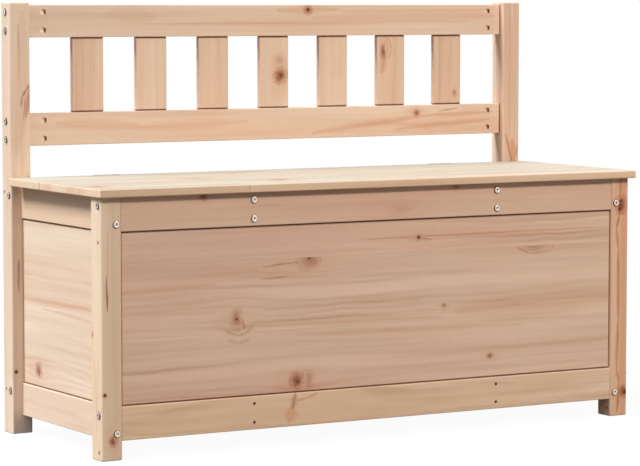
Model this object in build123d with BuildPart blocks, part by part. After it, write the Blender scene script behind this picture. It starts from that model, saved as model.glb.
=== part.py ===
"""Pine storage bench with a slatted back and a hinged seat lid, in millimetres.

The origin is on the floor under the middle of the bench: +X runs along the seat, +Y to the back, +Z up.
"""

import math
import os

from build123d import *

os.makedirs("parts", exist_ok=True)

# Frame
frame_width = 1069.0
frame_depth = 392.0
leg_size = 38.0
leg_height = 436.0
post_height = 755.0
leg_radius = 3.0
foot_chamfer = 1.5

# Rails and bearers, all cut from the same batten
rail_height = 57.0
rail_thickness = 18.0
rail_radius = 1.5
rail_setback = 1.0
rear_rail_drop = 4.0
foot_clearance = 32.0
bearer_inset = 250.0

# Tongued panels
tongue_thickness = 6.0
tongue_inset = 6.0
tongue_lap = 5.0
groove_spare = 1.0
groove_fit = 0.1
panel_recess = 2.5
panel_radius = 0.8
shadow_gap = 2.0

# Backrest
post_rise = 4.0
seat_to_backrest = 54.2
slat_width = 61.0
slat_thickness = 10.0
slat_radius = 1.5
slat_count = 7
slat_end_gap = 88.0
slat_tenon = 11.0
tenon_thickness = 5.0
mortise_spare = 1.0
slat_fit = 0.1

# Seat lid
lid_thickness = 14.0
lid_side_overhang = 7.0
lid_front_overhang = 14.0
lid_corner_radius = 2.0
lid_edge_radius = 2.0
seat_gap = 0.3

# Floor of the box
board_count = 4
board_thickness = 10.0
board_gap = 5.0
board_clearance = 1.0
board_radius = 1.0
cleat_width = 18.0
cleat_height = 25.0

# Connecting bolts, barrel nuts and dowels
bolt_diameter = 6.0
bolt_hole = 7.0
bolt_head = 12.5
bolt_head_height = 2.5
bolt_head_chamfer = 1.0
socket_size = 4.0
socket_depth = 3.0
bolt_edge = 12.5
bolt_past_nut = 8.0
nut_diameter = 10.0
nut_length = 10.0
nut_inset = 30.0
nut_slot_width = 1.4
nut_slot_depth = 1.2
thread_fit = 0.1
dowel_diameter = 6.0
dowel_in_leg = 14.0
dowel_in_rail = 20.0
dowel_shift = 4.0
hole_fit = 0.1
hole_spare = 1.0

# Countersunk wood screws
countersink_angle = 90.0
screw_shank = 3.5
screw_head = 5.5
bearer_screw_length = 50.0
cleat_screw_length = 30.0
board_screw_length = 20.0
screws_per_cleat = 3
leaf_screw_shank = 2.8
leaf_screw_head = 5.0
leaf_screw_length = 14.0
leaf_screw_pitch = 16.0
screws_per_leaf = 3

# Butt hinges
hinge_inset = 146.5
hinge_length = 50.0
knuckle_count = 5
knuckle_radius = 2.5
pin_radius = 1.4
pin_fit = 0.05
leaf_thickness = 1.2
leaf_inset = 0.1
lid_leaf_height = 11.0
rail_leaf_lap = 26.0
hinge_clearance = 0.3
open_clearance = 0.5

# Lines that the pieces share
outer_x = frame_width / 2
inner_x = outer_x - leg_size
leg_x = outer_x - leg_size / 2
back_y = (frame_depth + lid_front_overhang - bolt_head_height) / 2
front_y = back_y - frame_depth
leg_back_y = front_y + leg_size
post_front_y = back_y - leg_size
front_rail_y = front_y + rail_setback + rail_thickness / 2
rear_rail_y = post_front_y + rail_thickness / 2
side_rail_x = inner_x + rail_setback + rail_thickness / 2
back_rail_y = back_y - leg_size / 2
front_rail_face = front_rail_y - rail_thickness / 2
front_rail_inside = front_rail_y + rail_thickness / 2
rear_rail_face = rear_rail_y + rail_thickness / 2
side_middle_y = (leg_back_y + post_front_y) / 2
bearer_x = inner_x - bearer_inset
hinge_x = inner_x - hinge_inset

# Heights of the lid and of the rails' middles
bottom_rail_z = foot_clearance + rail_height / 2
top_rail_z = leg_height - rail_height / 2
rear_top_rail_z = top_rail_z - rear_rail_drop
lid_bottom = leg_height + seat_gap
lid_top = lid_bottom + lid_thickness
backrest_top_z = post_height - post_rise - rail_height / 2
backrest_bottom_z = lid_top + seat_to_backrest + rail_height / 2
slat_show = backrest_top_z - backrest_bottom_z - rail_height
slat_pitch = (2 * (inner_x - slat_end_gap) - slat_width) / (slat_count - 1)
front_levels = (bottom_rail_z, top_rail_z)
rear_levels = (bottom_rail_z, rear_top_rail_z)
backrest_levels = (backrest_bottom_z, backrest_top_z)
bolt_rise = rail_height / 2 - bolt_edge
opening_bottom = foot_clearance + rail_height
opening_height = leg_height - rail_height - opening_bottom

# Panel tongues and the grooves that take them, measured from a rail's outer face
groove_width = tongue_thickness + 2 * groove_fit
groove_depth = tongue_lap + groove_spare
tongue_middle = rail_thickness / 2 - tongue_inset - tongue_thickness / 2
field_thickness = tongue_inset - panel_recess
tongue_back = rail_thickness / 2 - tongue_inset - tongue_thickness
front_tongue_y = front_rail_y - tongue_middle
rear_tongue_y = rear_rail_y + tongue_middle
side_tongue_x = side_rail_x + tongue_middle
front_panel_inside = front_rail_y - tongue_back
rear_panel_inside = rear_rail_y + tongue_back
side_panel_inside = side_rail_x + tongue_back

# Hinge axis: its knuckles lie against the posts' front plane, just under the top of the lid
axis_y = post_front_y - knuckle_radius
axis_z = lid_top - knuckle_radius + open_clearance
rail_leaf_face = post_front_y - leaf_thickness
lid_leaf_back = axis_y - knuckle_radius - hinge_clearance
lid_leaf_face = lid_leaf_back + leaf_thickness
lid_rear_y = lid_leaf_face + leaf_inset
lid_front_y = front_y - lid_front_overhang
leaf_notch_z = axis_z - knuckle_radius - hinge_clearance
rail_leaf_bottom = rear_top_rail_z + rail_height / 2 - rail_leaf_lap
lid_leaf_bottom = axis_z - lid_leaf_height
knuckle_pitch = hinge_length / knuckle_count
rail_leaf_screw_z = rail_leaf_bottom + rail_leaf_lap / 2
lid_leaf_screw_z = (lid_leaf_bottom + leaf_notch_z) / 2

# Floor boards lie on the bottom rails, the bearers and the cleats
floor_front_y = front_panel_inside + board_clearance
floor_rear_y = rear_panel_inside - board_clearance
board_width = (floor_rear_y - floor_front_y - (board_count - 1) * board_gap) / board_count
board_ys = [floor_front_y + board_width / 2 + i * (board_width + board_gap) for i in range(board_count)]
board_end_x = inner_x - board_clearance
cleat_outer_x = inner_x + rail_setback
cleat_x = cleat_outer_x - cleat_width / 2
cleat_length = post_front_y - leg_back_y - 2 * board_clearance
cleat_z = opening_bottom - cleat_height / 2

sides = {"left": -1, "right": 1}

# Ends of the bearers: a long rail's outer face, the way it faces and the middle height of its fixings
seat_bearer_ends = ((front_rail_face, -1, top_rail_z), (rear_rail_face, 1, rear_top_rail_z))
floor_bearer_ends = ((front_rail_face, -1, bottom_rail_z), (rear_rail_face, 1, bottom_rail_z))


def spread(count, pitch):
    """Shifts of a row of things about its middle."""
    return [(i - (count - 1) / 2) * pitch for i in range(count)]


def upright(origin, outward):
    """Plane on an upright face: local x runs sideways, local y straight up and local z outwards."""
    return Plane(origin=origin, x_dir=Vector(0, 0, 1).cross(Vector(*outward)), z_dir=outward)


def save(part, name):
    """Labels a finished piece and writes it under its own name."""
    part.label = name
    export_step(part, f"parts/{name}.step")


def end_bolts(side, y, heights):
    """Bolts through a leg's outer side into rails that run along the bench."""
    return [upright((side * outer_x, y, z), (side, 0, 0)) for z in heights]


def long_rail_bolts(side, y, levels):
    """The one bolt at each end of a front or rear rail, near the rail's upper edge."""
    return end_bolts(side, y, [z + bolt_rise for z in levels])


def backrest_bolts(side, levels):
    """The pair of bolts at each end of a backrest rail."""
    return end_bolts(side, back_rail_y, [z + rise for z in levels for rise in (-bolt_rise, bolt_rise)])


def side_rail_bolts(side, y, facing):
    """Bolts through a leg's front face or a post's rear face into the side rails, near their lower edges."""
    return [upright((side * side_rail_x, y, z - bolt_rise), (0, facing, 0)) for z in front_levels]


def bearer_fixings(y, facing, level):
    """The pairs of bolts or screws through a long rail into the ends of the two bearers behind it."""
    return [
        upright((x, y, level + rise), (0, facing, 0))
        for x in (-bearer_x, bearer_x)
        for rise in (-bolt_rise, bolt_rise)
    ]


def nut_mouths(bolts, reach, outward):
    """Mouths of the barrel nuts' holes, for bolts that pass through a piece as thick as reach."""
    centres = [bolt.offset(-reach - nut_inset).origin for bolt in bolts]
    return [upright(centre + Vector(*outward) * (rail_thickness / 2), outward) for centre in centres]


def long_dowels(side, y, levels):
    """Dowels between a leg's inner side and the ends of a front or rear rail."""
    return [upright((side * inner_x, y, z - dowel_shift), (-side, 0, 0)) for z in levels]


def side_dowels(side, y, facing):
    """Dowels between a leg and the ends of the side rails."""
    return [upright((side * side_rail_x, y, z + dowel_shift), (0, facing, 0)) for z in front_levels]


def rail_leaf_screws(side):
    """Screws through a hinge's fixed leaf into the front of the rear top rail."""
    shifts = spread(screws_per_leaf, leaf_screw_pitch)
    xs = [side * hinge_x + shift for shift in shifts]
    return [upright((x, rail_leaf_face, rail_leaf_screw_z), (0, -1, 0)) for x in xs]


def lid_leaf_screws(side):
    """Screws through a hinge's moving leaf into the lid's rear edge."""
    shifts = spread(screws_per_leaf, leaf_screw_pitch)
    xs = [side * hinge_x + shift for shift in shifts]
    return [upright((x, lid_leaf_face, lid_leaf_screw_z), (0, 1, 0)) for x in xs]


def cleat_screws(side):
    """Screws through a cleat into the side bottom rail."""
    inside = side * (cleat_x - cleat_width / 2)
    shifts = spread(screws_per_cleat, cleat_length / screws_per_cleat)
    return [upright((inside, side_middle_y + shift, cleat_z), (-side, 0, 0)) for shift in shifts]


def board_screws(y):
    """Screws down through one floor board into the cleats and the bearers."""
    xs = (-cleat_x, -bearer_x, bearer_x, cleat_x)
    return [Plane(origin=(x, y, opening_bottom + board_thickness)) for x in xs]


def bolt_holes(places):
    """Clearance holes, right through the piece."""
    with Locations(*places):
        Hole(bolt_hole / 2)


def blind_holes(places, diameter, depth):
    """Plain holes of one depth."""
    with Locations(*places):
        Hole(diameter / 2, depth)


def screw_holes(places, length):
    """Countersunk holes for wood screws of one length."""
    radius = screw_shank / 2 + hole_fit
    head_radius = screw_head / 2 + hole_fit
    with Locations(*places):
        CounterSinkHole(radius, head_radius, length + hole_spare, countersink_angle)


def leaf_screw_holes(places):
    """Countersunk holes for the hinges' small screws."""
    radius = leaf_screw_shank / 2 + hole_fit
    head_radius = leaf_screw_head / 2 + hole_fit
    with Locations(*places):
        CounterSinkHole(radius, head_radius, leaf_screw_length + hole_spare, countersink_angle)


def rail_end_holes(bolts, reach, dowels, nuts):
    """What is drilled in the end of a rail or bearer: bolt holes, dowel holes and barrel nut holes."""
    blind_holes([bolt.offset(-reach) for bolt in bolts], bolt_hole, nut_inset + bolt_past_nut + hole_spare)
    blind_holes(nuts, nut_diameter + 2 * hole_fit, (rail_thickness + nut_length) / 2 + hole_fit)
    if dowels:
        turned = [upright(dowel.origin, tuple(dowel.z_dir * -1)) for dowel in dowels]
        blind_holes(turned, dowel_diameter + 2 * hole_fit, dowel_in_rail + hole_spare)


def front_leg(side):
    """Short leg, grooved for the front and side panels and drilled for bolts and dowels."""
    with BuildPart() as leg:
        with BuildSketch():
            with Locations((side * leg_x, front_y + leg_size / 2)):
                RectangleRounded(leg_size, leg_size, leg_radius)
        extrude(amount=leg_height)
        chamfer(leg.faces().sort_by(Axis.Z)[0].edges(), foot_chamfer)
        with BuildSketch(Plane.XY.offset(opening_bottom - groove_depth)):
            with Locations((side * inner_x, front_tongue_y)):
                Rectangle(2 * groove_depth, groove_width)
            with Locations((side * side_tongue_x, leg_back_y)):
                Rectangle(groove_width, 2 * groove_depth)
        extrude(amount=opening_height + 2 * groove_depth, mode=Mode.SUBTRACT)
        bolt_holes(long_rail_bolts(side, front_rail_y, front_levels))
        bolt_holes(side_rail_bolts(side, front_y, -1))
        dowels = long_dowels(side, front_rail_y, front_levels) + side_dowels(side, leg_back_y, 1)
        blind_holes(dowels, dowel_diameter + 2 * hole_fit, dowel_in_leg + hole_spare)
    return leg.part


def rear_post(side):
    """Tall post that carries the backrest, grooved and drilled as the front legs are."""
    with BuildPart() as post:
        with BuildSketch():
            with Locations((side * leg_x, back_rail_y)):
                RectangleRounded(leg_size, leg_size, leg_radius)
        extrude(amount=post_height)
        chamfer(post.faces().sort_by(Axis.Z)[0].edges(), foot_chamfer)
        chamfer(post.faces().sort_by(Axis.Z)[-1].edges(), foot_chamfer)
        with BuildSketch(Plane.XY.offset(opening_bottom - groove_depth)):
            with Locations((side * inner_x, rear_tongue_y)):
                Rectangle(2 * groove_depth, groove_width)
        extrude(amount=opening_height - rear_rail_drop + 2 * groove_depth, mode=Mode.SUBTRACT)
        with BuildSketch(Plane.XY.offset(opening_bottom - groove_depth)):
            with Locations((side * side_tongue_x, post_front_y)):
                Rectangle(groove_width, 2 * groove_depth)
        extrude(amount=opening_height + 2 * groove_depth, mode=Mode.SUBTRACT)
        bolt_holes(long_rail_bolts(side, rear_rail_y, rear_levels))
        bolt_holes(backrest_bolts(side, backrest_levels))
        bolt_holes(side_rail_bolts(side, back_y, 1))
        dowels = long_dowels(side, rear_rail_y, rear_levels) + side_dowels(side, post_front_y, -1)
        blind_holes(dowels, dowel_diameter + 2 * hole_fit, dowel_in_leg + hole_spare)
    return post.part


def long_rail(y, tongue_y, z, inward, is_top, is_hinged=False):
    """Front or rear rail of the box, grooved along the edge that faces the panel."""
    groove_z = z - rail_height / 2 if is_top else z + rail_height / 2
    bearer_places = bearer_fixings(y - inward * rail_thickness / 2, -inward, z)
    with BuildPart() as rail:
        with BuildSketch(Plane.YZ.offset(-inner_x)):
            with Locations((y, z)):
                RectangleRounded(rail_thickness, rail_height, rail_radius)
            with Locations((tongue_y, groove_z)):
                Rectangle(groove_width, 2 * groove_depth, mode=Mode.SUBTRACT)
        extrude(amount=2 * inner_x)
        for side in sides.values():
            bolts = long_rail_bolts(side, y, [z])
            nuts = nut_mouths(bolts, leg_size, (0, inward, 0))
            rail_end_holes(bolts, leg_size, long_dowels(side, y, [z]), nuts)
            if is_hinged:
                leaf_screw_holes(rail_leaf_screws(side))
        if is_top:
            bolt_holes(bearer_places)
        else:
            screw_holes(bearer_places, bearer_screw_length)
    return rail.part


def side_rail(side, z, is_top):
    """Side rail of the box, between a front leg and a rear post."""
    groove_z = z - rail_height / 2 if is_top else z + rail_height / 2
    level = front_levels.index(z)
    with BuildPart() as rail:
        with BuildSketch(Plane.XZ.offset(-post_front_y)):
            with Locations((side * side_rail_x, z)):
                RectangleRounded(rail_thickness, rail_height, rail_radius)
            with Locations((side * side_tongue_x, groove_z)):
                Rectangle(groove_width, 2 * groove_depth, mode=Mode.SUBTRACT)
        extrude(amount=post_front_y - leg_back_y)
        for bolts, dowels in (
            (side_rail_bolts(side, front_y, -1), side_dowels(side, leg_back_y, 1)),
            (side_rail_bolts(side, back_y, 1), side_dowels(side, post_front_y, -1)),
        ):
            nuts = nut_mouths([bolts[level]], leg_size, (-side, 0, 0))
            rail_end_holes([bolts[level]], leg_size, [dowels[level]], nuts)
        if not is_top:
            screw_holes(cleat_screws(side), cleat_screw_length)
    return rail.part


def panel(back_plane, width, height):
    """Edge-glued panel: a rebate all round leaves a tongue at the back and a shadow gap at the front."""
    with BuildPart() as board:
        with BuildSketch(back_plane):
            Rectangle(width + 2 * tongue_lap, height + 2 * tongue_lap)
        extrude(amount=tongue_thickness)
        with BuildSketch(back_plane.offset(tongue_thickness)):
            Rectangle(width - 2 * shadow_gap, height - 2 * shadow_gap)
        extrude(amount=field_thickness)
        outward = Axis(origin=back_plane.origin, direction=back_plane.z_dir)
        fillet(board.faces().sort_by(outward)[-1].edges(), panel_radius)
    return board.part


def backrest_rail(z, mortise_z):
    """Backrest rail with the slats' mortises along one edge and two bolts at each end."""
    with BuildPart() as rail:
        with BuildSketch(Plane.YZ.offset(-inner_x)):
            with Locations((back_rail_y, z)):
                RectangleRounded(rail_thickness, rail_height, rail_radius)
        extrude(amount=2 * inner_x)
        depth = slat_tenon + mortise_spare
        with BuildSketch(Plane.XY.offset(mortise_z - depth)):
            with Locations(*[(x, back_rail_y) for x in spread(slat_count, slat_pitch)]):
                Rectangle(slat_width + 2 * slat_fit, tenon_thickness + 2 * slat_fit)
        extrude(amount=2 * depth, mode=Mode.SUBTRACT)
        for side in sides.values():
            bolts = backrest_bolts(side, [z])
            rail_end_holes(bolts, leg_size, [], nut_mouths(bolts, leg_size, (0, -1, 0)))
    return rail.part


def back_slat(x):
    """Upright slat with a thinner tenon at each end, whose shoulders leave a shadow gap at the rails."""
    foot = backrest_bottom_z + rail_height / 2
    with BuildPart() as slat:
        with BuildSketch(Plane.XY.offset(foot + shadow_gap)):
            with Locations((x, back_rail_y)):
                RectangleRounded(slat_width, slat_thickness, slat_radius)
        extrude(amount=slat_show - 2 * shadow_gap)
        with BuildSketch(Plane.XY.offset(foot - slat_tenon)):
            with Locations((x, back_rail_y)):
                Rectangle(slat_width, tenon_thickness)
        extrude(amount=slat_show + 2 * slat_tenon)
    return slat.part


def bearer(side, z, carries_seat):
    """Batten on edge between the front and rear rails, bolted under the seat or screwed under the floor."""
    with BuildPart() as batten:
        with BuildSketch(Plane.XZ.offset(-post_front_y)):
            with Locations((side * bearer_x, z)):
                RectangleRounded(rail_thickness, rail_height, rail_radius)
        extrude(amount=post_front_y - front_rail_inside)
        if carries_seat:
            for end in seat_bearer_ends:
                bolts = [bolt for bolt in bearer_fixings(*end) if bolt.origin.X * side > 0]
                rail_end_holes(bolts, rail_thickness, [], nut_mouths(bolts, rail_thickness, (side, 0, 0)))
        else:
            for end in floor_bearer_ends:
                screw_holes(bearer_fixings(*end), bearer_screw_length)
            for y in board_ys:
                screw_holes(board_screws(y), board_screw_length)
    return batten.part


def floor_cleat(side):
    """Batten on the side bottom rail that carries the ends of the floor boards."""
    with BuildPart() as cleat:
        with BuildSketch(Plane.XZ.offset(-side_middle_y - cleat_length / 2)):
            with Locations((side * cleat_x, cleat_z)):
                RectangleRounded(cleat_width, cleat_height, rail_radius)
        extrude(amount=cleat_length)
        screw_holes(cleat_screws(side), cleat_screw_length)
        for y in board_ys:
            screw_holes(board_screws(y), board_screw_length)
    return cleat.part


def floor_board(y):
    """Floor board, screwed down at its ends and at the bearers."""
    with BuildPart() as board:
        with BuildSketch(Plane.YZ.offset(-board_end_x)):
            with Locations((y, opening_bottom + board_thickness / 2)):
                RectangleRounded(board_width, board_thickness, board_radius)
        extrude(amount=2 * board_end_x)
        screw_holes(board_screws(y), board_screw_length)
    return board.part


def hinge_leaf(side, plate_y, plate_bottom, own_knuckles, screws):
    """One leaf of a butt hinge: a flat plate, notched between the knuckles that are rolled from it."""
    start = side * hinge_x - hinge_length / 2
    with BuildPart() as leaf:
        with BuildSketch(Plane.YZ.offset(start)):
            with Locations((plate_y, (plate_bottom + leaf_notch_z) / 2)):
                Rectangle(leaf_thickness, leaf_notch_z - plate_bottom)
        extrude(amount=hinge_length)
        for i in own_knuckles:
            low = start + i * knuckle_pitch + (hinge_clearance / 2 if i > 0 else 0)
            high = start + (i + 1) * knuckle_pitch - (hinge_clearance / 2 if i < knuckle_count - 1 else 0)
            with BuildSketch(Plane.YZ.offset(low)):
                with Locations((plate_y, (leaf_notch_z + axis_z) / 2)):
                    Rectangle(leaf_thickness, axis_z - leaf_notch_z)
                with Locations((axis_y, axis_z)):
                    Circle(knuckle_radius)
            extrude(amount=high - low)
        with BuildSketch(Plane.YZ.offset(start)):
            with Locations((axis_y, axis_z)):
                Circle(pin_radius + pin_fit)
        extrude(amount=hinge_length, mode=Mode.SUBTRACT)
        leaf_screw_holes(screws)
    return leaf.part


def hinge_pin(side):
    """Plain pin through the knuckles of both leaves."""
    with BuildPart() as pin:
        with BuildSketch(Plane.YZ.offset(side * hinge_x - hinge_length / 2)):
            with Locations((axis_y, axis_z)):
                Circle(pin_radius)
        extrude(amount=hinge_length)
    return pin.part


def connecting_bolt(length):
    """Flat-headed socket bolt: its head lies on the face that it is driven from, and its shank points down."""
    with BuildPart() as bolt:
        with BuildSketch():
            Circle(bolt_head / 2)
        extrude(amount=bolt_head_height)
        chamfer(bolt.faces().sort_by(Axis.Z)[-1].edges(), bolt_head_chamfer)
        with BuildSketch():
            Circle(bolt_diameter / 2)
        extrude(amount=-length)
        with BuildSketch(Plane.XY.offset(bolt_head_height)):
            RegularPolygon(socket_size / 2, 6, major_radius=False)
        extrude(amount=-socket_depth, mode=Mode.SUBTRACT)
    return bolt.part


def barrel_nut():
    """Barrel nut below the mouth of its hole, crossed by the bolt and slotted at its outer end."""
    sink = (rail_thickness - nut_length) / 2
    with BuildPart() as nut:
        with BuildSketch(Plane.XY.offset(-sink)):
            Circle(nut_diameter / 2)
        extrude(amount=-nut_length)
        with BuildSketch(Plane.XY.offset(-sink)):
            Rectangle(nut_diameter, nut_slot_width)
        extrude(amount=-nut_slot_depth, mode=Mode.SUBTRACT)
        with Locations(Plane(origin=(0, 0, -rail_thickness / 2), z_dir=(1, 0, 0))):
            Hole(bolt_diameter / 2 + thread_fit)
    return nut.part


def wood_screw(shank, head, length):
    """Countersunk wood screw with its flat head at the origin, pointing down."""
    cone = (head - shank) / 2 / math.tan(math.radians(countersink_angle / 2))
    with BuildPart() as body:
        with BuildSketch(Plane.XZ):
            with BuildLine():
                Polyline(
                    (0, 0),
                    (head / 2, 0),
                    (shank / 2, -cone),
                    (shank / 2, shank - length),
                    (0, -length),
                    close=True,
                )
            make_face()
        revolve(axis=Axis.Z)
    return body.part


def dowel():
    """Dowel across the joint between a leg's face and a rail's end."""
    with BuildPart() as peg:
        with BuildSketch(Plane.XY.offset(-dowel_in_leg)):
            Circle(dowel_diameter / 2)
        extrude(amount=dowel_in_leg + dowel_in_rail)
    return peg.part


def save_group(template, places, name):
    """Writes one node that holds a copy of a fastener at each place."""
    with BuildPart() as group:
        with Locations(*places):
            add(template)
    save(group.part, name)


# Legs, posts and the long rails
for word, side in sides.items():
    save(front_leg(side), f"front_{word}_leg")
    save(rear_post(side), f"rear_{word}_post")
save(long_rail(front_rail_y, front_tongue_y, top_rail_z, 1, True), "front_top_rail")
save(long_rail(front_rail_y, front_tongue_y, bottom_rail_z, 1, False), "front_bottom_rail")
save(long_rail(rear_rail_y, rear_tongue_y, rear_top_rail_z, -1, True, is_hinged=True), "rear_top_rail")
save(long_rail(rear_rail_y, rear_tongue_y, bottom_rail_z, -1, False), "rear_bottom_rail")

# Side rails, bearers and cleats
for word, side in sides.items():
    save(side_rail(side, bottom_rail_z, False), f"{word}_bottom_rail")
    save(side_rail(side, top_rail_z, True), f"{word}_top_rail")
    save(bearer(side, top_rail_z, True), f"{word}_seat_bearer")
    save(bearer(side, bottom_rail_z, False), f"{word}_floor_bearer")
    save(floor_cleat(side), f"{word}_floor_cleat")

# Panels
opening_z = opening_bottom + opening_height / 2
front_plane = upright((0, front_panel_inside, opening_z), (0, -1, 0))
rear_plane = upright((0, rear_panel_inside, opening_z - rear_rail_drop / 2), (0, 1, 0))
save(panel(front_plane, 2 * inner_x, opening_height), "front_panel")
save(panel(rear_plane, 2 * inner_x, opening_height - rear_rail_drop), "rear_panel")
for word, side in sides.items():
    side_plane = upright((side * side_panel_inside, side_middle_y, opening_z), (side, 0, 0))
    save(panel(side_plane, post_front_y - leg_back_y, opening_height), f"{word}_panel")

# Backrest
save(backrest_rail(backrest_top_z, backrest_top_z - rail_height / 2), "backrest_top_rail")
save(backrest_rail(backrest_bottom_z, backrest_bottom_z + rail_height / 2), "backrest_bottom_rail")
for number, x in enumerate(spread(slat_count, slat_pitch), 1):
    save(back_slat(x), f"back_slat_{number}")

# Floor boards
for number, y in enumerate(board_ys, 1):
    save(floor_board(y), f"floor_board_{number}")

# Seat lid, notched at the back for the hinges
lid_width = frame_width + 2 * lid_side_overhang
lid_middle_y = (lid_front_y + lid_rear_y) / 2
with BuildPart() as seat_lid:
    with BuildSketch(Plane.XY.offset(lid_bottom)):
        with Locations((0, lid_middle_y)):
            RectangleRounded(lid_width, lid_rear_y - lid_front_y, lid_corner_radius)
    extrude(amount=lid_thickness)
    fillet(seat_lid.faces().sort_by(Axis.Z)[-1].edges(), lid_edge_radius)
    fillet(seat_lid.faces().sort_by(Axis.Z)[0].edges(), lid_edge_radius)
    with BuildSketch(Plane.XY.offset(lid_bottom)):
        with Locations(*[(side * hinge_x, lid_rear_y) for side in sides.values()]):
            Rectangle(hinge_length + 2 * hinge_clearance, 2 * (lid_rear_y - lid_leaf_back))
    extrude(amount=lid_thickness, mode=Mode.SUBTRACT)
    for side in sides.values():
        leaf_screw_holes(lid_leaf_screws(side))
save(seat_lid.part, "seat_lid")

# Hinges
rail_leaf_y = post_front_y - leaf_thickness / 2
lid_leaf_y = lid_leaf_back + leaf_thickness / 2
rail_knuckles = range(0, knuckle_count, 2)
lid_knuckles = range(1, knuckle_count, 2)
for word, side in sides.items():
    rail_leaf = hinge_leaf(side, rail_leaf_y, rail_leaf_bottom, rail_knuckles, rail_leaf_screws(side))
    lid_leaf = hinge_leaf(side, lid_leaf_y, lid_leaf_bottom, lid_knuckles, lid_leaf_screws(side))
    save(rail_leaf, f"{word}_hinge_rail_leaf")
    save(lid_leaf, f"{word}_hinge_lid_leaf")
    save(hinge_pin(side), f"{word}_hinge_pin")

# Fasteners, each kind in one node
frame_bolts = []
nuts = []
dowels = []
for side in sides.values():
    front_bolts = long_rail_bolts(side, front_rail_y, front_levels)
    rear_bolts = long_rail_bolts(side, rear_rail_y, rear_levels)
    back_bolts = backrest_bolts(side, backrest_levels)
    corner_bolts = side_rail_bolts(side, front_y, -1) + side_rail_bolts(side, back_y, 1)
    frame_bolts += front_bolts + rear_bolts + back_bolts + corner_bolts
    nuts += nut_mouths(front_bolts, leg_size, (0, 1, 0))
    nuts += nut_mouths(rear_bolts + back_bolts, leg_size, (0, -1, 0))
    nuts += nut_mouths(corner_bolts, leg_size, (-side, 0, 0))
    dowels += long_dowels(side, front_rail_y, front_levels) + long_dowels(side, rear_rail_y, rear_levels)
    dowels += side_dowels(side, leg_back_y, 1) + side_dowels(side, post_front_y, -1)
seat_bearer_bolts = [bolt for end in seat_bearer_ends for bolt in bearer_fixings(*end)]
for bolt in seat_bearer_bolts:
    outward = (1 if bolt.origin.X > 0 else -1, 0, 0)
    nuts += nut_mouths([bolt], rail_thickness, outward)
into_rail = nut_inset + bolt_past_nut
save_group(connecting_bolt(leg_size + into_rail), frame_bolts, "frame_bolts")
save_group(connecting_bolt(rail_thickness + into_rail), seat_bearer_bolts, "seat_bearer_bolts")
save_group(barrel_nut(), nuts, "barrel_nuts")
save_group(dowel(), dowels, "rail_dowels")

# Wood screws
bearer_screws = [place for end in floor_bearer_ends for place in bearer_fixings(*end)]
all_cleat_screws = [place for side in sides.values() for place in cleat_screws(side)]
all_board_screws = [place for y in board_ys for place in board_screws(y)]
all_rail_leaf_screws = [place for side in sides.values() for place in rail_leaf_screws(side)]
all_lid_leaf_screws = [place for side in sides.values() for place in lid_leaf_screws(side)]
leaf_screw = wood_screw(leaf_screw_shank, leaf_screw_head, leaf_screw_length)
save_group(wood_screw(screw_shank, screw_head, bearer_screw_length), bearer_screws, "floor_bearer_screws")
save_group(wood_screw(screw_shank, screw_head, cleat_screw_length), all_cleat_screws, "floor_cleat_screws")
save_group(wood_screw(screw_shank, screw_head, board_screw_length), all_board_screws, "floor_board_screws")
save_group(leaf_screw, all_rail_leaf_screws, "hinge_rail_screws")
save_group(leaf_screw, all_lid_leaf_screws, "hinge_lid_screws")
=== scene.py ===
"""Looks of a pine storage bench with a slatted back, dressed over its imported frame."""

import math

import bmesh
import bpy
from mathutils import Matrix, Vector


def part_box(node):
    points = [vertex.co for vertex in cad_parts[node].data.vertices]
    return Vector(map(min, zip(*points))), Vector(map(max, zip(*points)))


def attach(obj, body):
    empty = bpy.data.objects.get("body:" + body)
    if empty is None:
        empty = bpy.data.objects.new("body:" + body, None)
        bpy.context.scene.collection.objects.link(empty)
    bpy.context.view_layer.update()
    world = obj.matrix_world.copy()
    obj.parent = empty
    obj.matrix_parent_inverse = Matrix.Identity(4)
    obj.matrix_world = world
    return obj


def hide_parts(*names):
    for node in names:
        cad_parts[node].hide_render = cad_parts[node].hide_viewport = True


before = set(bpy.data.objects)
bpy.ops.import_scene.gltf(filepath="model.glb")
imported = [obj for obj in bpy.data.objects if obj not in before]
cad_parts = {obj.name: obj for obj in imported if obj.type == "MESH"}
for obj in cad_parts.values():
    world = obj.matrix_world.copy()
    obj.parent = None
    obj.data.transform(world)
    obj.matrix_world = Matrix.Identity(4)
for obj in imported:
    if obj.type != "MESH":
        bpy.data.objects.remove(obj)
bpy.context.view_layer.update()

FLOAT = "NodeSocketFloat"
VECTOR = "NodeSocketVector"
COLOUR = "NodeSocketColor"
AXES = {"X": (1.0, 0.0, 0.0), "Y": (0.0, 1.0, 0.0), "Z": (0.0, 0.0, 1.0)}


# Small helpers for node trees

def add(tree, kind, inputs=None, **settings):
    """Adds a node, sets its properties and fills its inputs with values or with other nodes' outputs."""
    node = tree.nodes.new(kind)
    for name, value in settings.items():
        setattr(node, name, value)
    for key, value in (inputs or {}).items():
        if isinstance(value, bpy.types.NodeSocket):
            tree.links.new(value, node.inputs[key])
        else:
            node.inputs[key].default_value = value
    return node


def calc(tree, operation, *values):
    """One step of arithmetic."""
    return add(tree, "ShaderNodeMath", dict(enumerate(values)), operation=operation).outputs[0]


def vector(tree, operation, *values):
    """One step of vector arithmetic."""
    node = add(tree, "ShaderNodeVectorMath", dict(enumerate(values)), operation=operation)
    return node.outputs["Value" if operation in ("LENGTH", "DOT_PRODUCT") else "Vector"]


def combine(tree, x, y, z):
    """Vector from three values."""
    return add(tree, "ShaderNodeCombineXYZ", {"X": x, "Y": y, "Z": z}).outputs[0]


def split(tree, value):
    """The three values of a vector."""
    return add(tree, "ShaderNodeSeparateXYZ", {0: value}).outputs


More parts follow.
